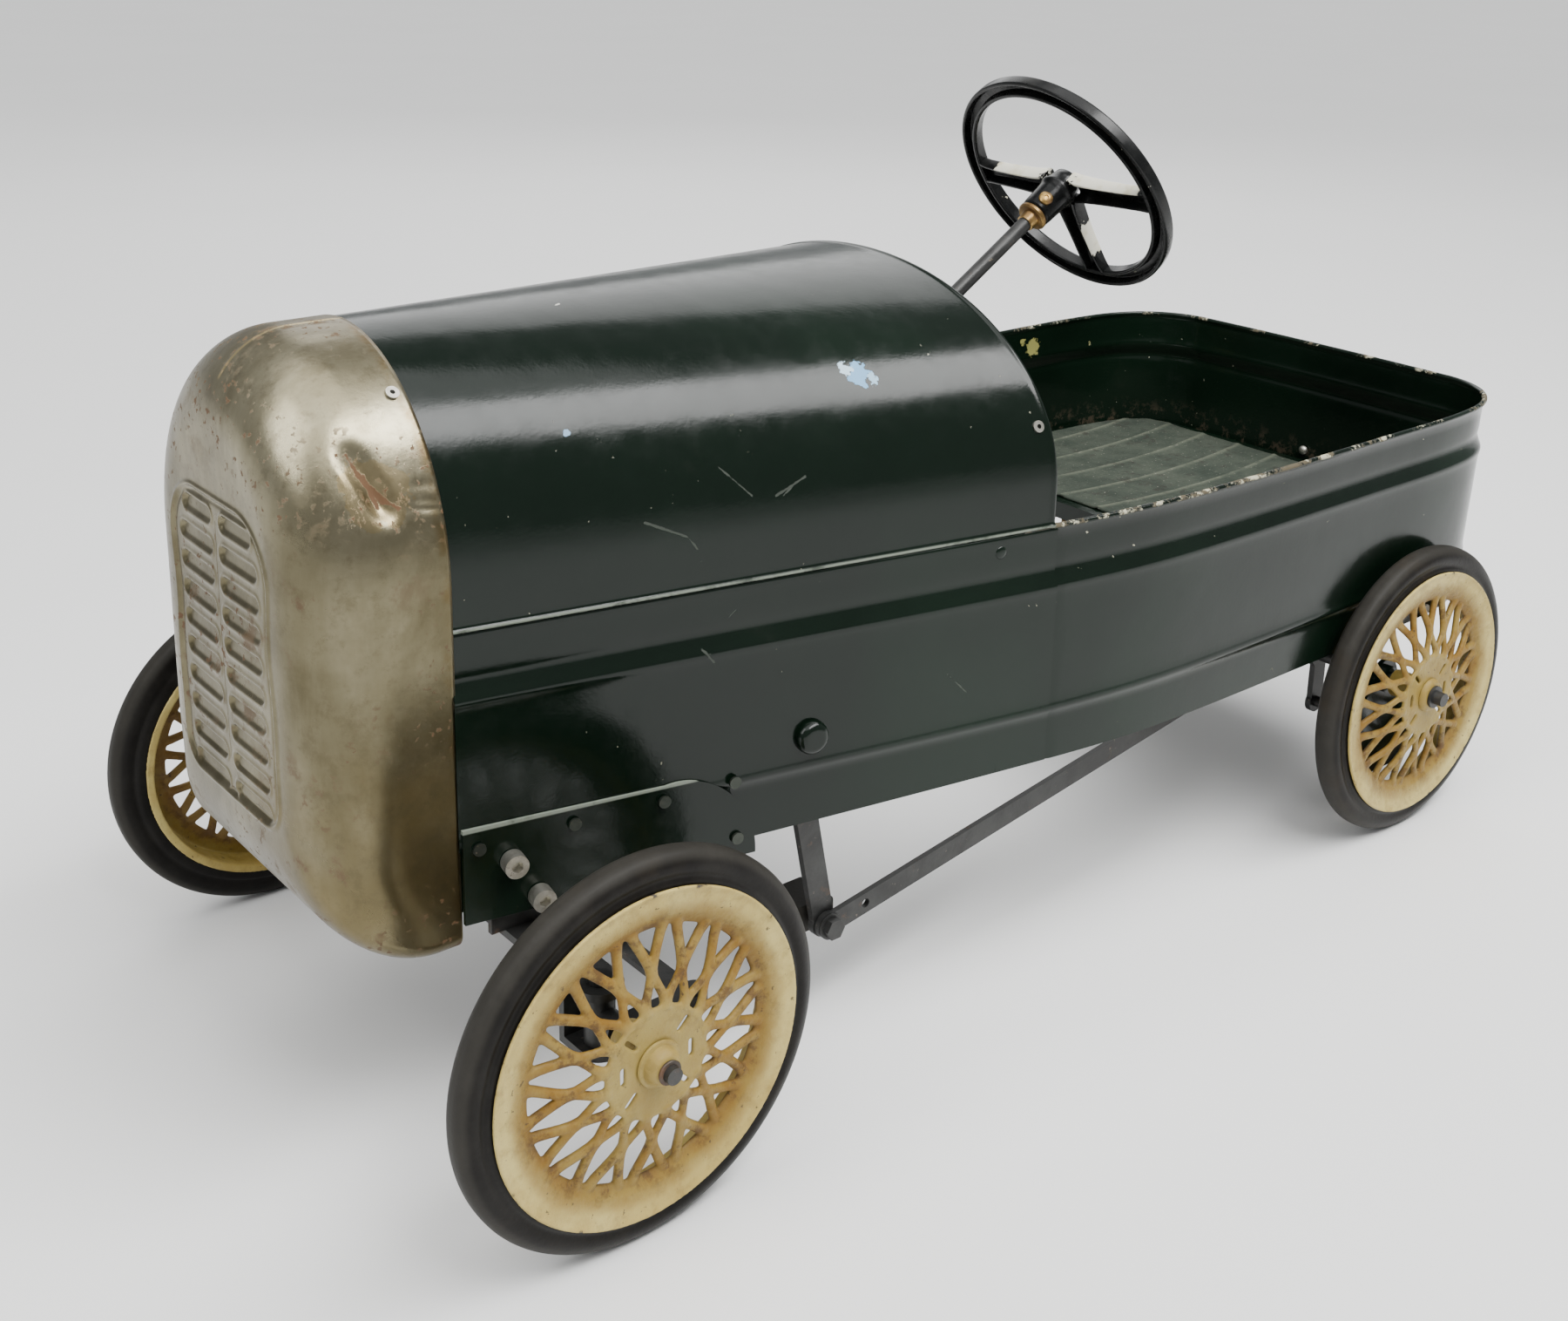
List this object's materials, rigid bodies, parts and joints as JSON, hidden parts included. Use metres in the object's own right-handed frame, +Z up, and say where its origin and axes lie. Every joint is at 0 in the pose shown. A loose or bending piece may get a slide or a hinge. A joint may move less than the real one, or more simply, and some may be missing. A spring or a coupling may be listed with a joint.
{
  "type": "pedal car",
  "caption": "Child's pedal car with a pressed sheet tub, arched bonnet and bare nose, steered spoked front wheels and pedals that drive a cranked rear axle.",
  "frame": {"origin": "on the ground under the middle of the car", "axes": "+X towards the nose, +Y to the driver's left, +Z up"},
  "size_m": [1.0425, 0.5314, 0.5919],
  "materials": {
    "green_paint": "old gloss dark green enamel with chips and scratches",
    "bare_steel": "bare pressed steel, dull brown patina with rust specks",
    "zinc": "dull zinc plate",
    "mat": "dusty grey green ribbed matting",
    "dark_steel": "dark worn steel with brown rust",
    "black_paint": "black enamel chipped to a cream undercoat",
    "brass": "tarnished",
    "cream_paint": "aged cream enamel stained with ochre rust",
    "tyre": "dusty solid black rubber",
    "pedal_rubber": "worn black rubber block"
  },
  "bodies": {
    "body": {"rear_tub": "green_paint", "side_panel_left": "green_paint", "side_panel_right": "green_paint", "bonnet": "green_paint", "nose_shell": "bare_steel", "front_plate_left": "green_paint", "front_plate_right": "green_paint", "seat_pan": "green_paint", "seat_mat": "mat", "front_axle_beam": "dark_steel", "kingpins": "dark_steel", "column_bracket_upper": "green_paint", "column_bracket_lower": "green_paint", "rear_axle_bracket_left": "green_paint", "rear_axle_bracket_right": "green_paint", "rear_bolts": "zinc", "rear_bolt_spacers": "zinc", "body_screws": "green_paint", "axle_screws": "zinc", "seam_rivets": "green_paint", "bonnet_rivets": "zinc", "pedal_shaft": "dark_steel", "pedal_shaft_cap_left": "green_paint", "pedal_shaft_cap_right": "green_paint"},
    "steering_column": {"steering_shaft": "dark_steel", "steering_wheel": "black_paint", "column_collar": "brass"},
    "stub_left": {"stub_axle_left": "dark_steel", "front_retainer_left": "dark_steel"},
    "stub_right": {"stub_axle_right": "dark_steel", "front_retainer_right": "dark_steel"},
    "track_rod": {"tie_rod": "dark_steel"},
    "front_wheel_left": {"front_wheel_disc_left": "cream_paint", "front_tyre_left": "tyre", "front_hub_left": "cream_paint"},
    "front_wheel_right": {"front_wheel_disc_right": "cream_paint", "front_tyre_right": "tyre", "front_hub_right": "cream_paint"},
    "driven_axle": {"rear_axle": "dark_steel", "crank_arm_left": "dark_steel", "crank_arm_right": "dark_steel", "rear_wheel_disc_left": "cream_paint", "rear_tyre_left": "tyre", "rear_hub_left": "cream_paint", "rear_retainer_left": "dark_steel", "rear_retainer_right": "dark_steel"},
    "rear_wheel_right": {"rear_wheel_disc_right": "cream_paint", "rear_tyre_right": "tyre", "rear_hub_right": "cream_paint"},
    "lever_left": {"pedal_lever_left": "dark_steel", "pedal_spindle_left": "dark_steel"},
    "lever_right": {"pedal_lever_right": "dark_steel", "pedal_spindle_right": "dark_steel"},
    "pad_left": {"pedal_pad_left": "pedal_rubber"},
    "pad_right": {"pedal_pad_right": "pedal_rubber"},
    "rod_left": {"push_rod_left": "dark_steel"},
    "rod_right": {"push_rod_right": "dark_steel"}
  },
  "joints": [
    {"name": "steering", "type": "hinge", "parent": "body", "child": "steering_column", "pos_m": [-0.163, 0, 0.509], "axis": [-0.8434, 0, 0.5373], "range_deg": [-20, 20]},
    {"name": "kingpin_left", "type": "hinge", "parent": "body", "child": "stub_left", "pos_m": [0.3954, 0.194, 0.1176], "axis": [0, 0, 1], "range_deg": [-20, 20]},
    {"name": "kingpin_right", "type": "hinge", "parent": "body", "child": "stub_right", "pos_m": [0.3954, -0.194, 0.1176], "axis": [0, 0, 1], "range_deg": [-20, 20]},
    {"name": "track_rod_pivot", "type": "hinge", "parent": "stub_left", "child": "track_rod", "pos_m": [0.3294, 0.194, 0.105], "axis": [0, 0, 1], "range_deg": [-20, 20]},
    {"name": "front_wheel_left_spin", "type": "hinge", "parent": "stub_left", "child": "front_wheel_left", "pos_m": [0.3954, 0.2467, 0.1176], "axis": [0, 1, 0], "continuous": true},
    {"name": "front_wheel_right_spin", "type": "hinge", "parent": "stub_right", "child": "front_wheel_right", "pos_m": [0.3954, -0.2467, 0.1176], "axis": [0, 1, 0], "continuous": true},
    {"name": "rear_axle_spin", "type": "hinge", "parent": "body", "child": "driven_axle", "pos_m": [-0.3634, 0, 0.1176], "axis": [0, 1, 0], "continuous": true},
    {"name": "rear_wheel_right_spin", "type": "hinge", "parent": "driven_axle", "child": "rear_wheel_right", "pos_m": [-0.3634, -0.232, 0.1176], "axis": [0, 1, 0], "continuous": true},
    {"name": "pedal_left_swing", "type": "hinge", "parent": "body", "child": "lever_left", "pos_m": [0.215, 0.1395, 0.222], "axis": [0, 1, 0], "range_deg": [-16, 16]},
    {"name": "pedal_right_swing", "type": "hinge", "parent": "body", "child": "lever_right", "pos_m": [0.215, -0.1395, 0.222], "axis": [0, 1, 0], "range_deg": [-16, 16]},
    {"name": "rod_left_pivot", "type": "hinge", "parent": "lever_left", "child": "rod_left", "pos_m": [0.18397, 0.145, 0.07218], "axis": [0, 1, 0], "range_deg": [-15.2, 15.2]},
    {"name": "rod_right_pivot", "type": "hinge", "parent": "lever_right", "child": "rod_right", "pos_m": [0.1908, -0.145, 0.07093], "axis": [0, 1, 0], "range_deg": [-15.2, 15.2]},
    {"name": "pad_left_pivot", "type": "hinge", "parent": "lever_left", "child": "pad_left", "pos_m": [0.18397, 0.116, 0.07218], "axis": [0, 1, 0], "continuous": true},
    {"name": "pad_right_pivot", "type": "hinge", "parent": "lever_right", "child": "pad_right", "pos_m": [0.1908, -0.116, 0.07093], "axis": [0, 1, 0], "continuous": true}
  ],
  "couplings": [
    {"joint": "kingpin_left", "follows": "steering", "ratio": 1},
    {"joint": "kingpin_right", "follows": "steering", "ratio": 1},
    {"joint": "track_rod_pivot", "follows": "steering", "ratio": -1},
    {"joint": "pedal_right_swing", "follows": "pedal_left_swing", "ratio": -1},
    {"joint": "rod_left_pivot", "follows": "pedal_left_swing", "ratio": -0.95},
    {"joint": "rod_right_pivot", "follows": "pedal_left_swing", "ratio": 0.95}
  ]
}
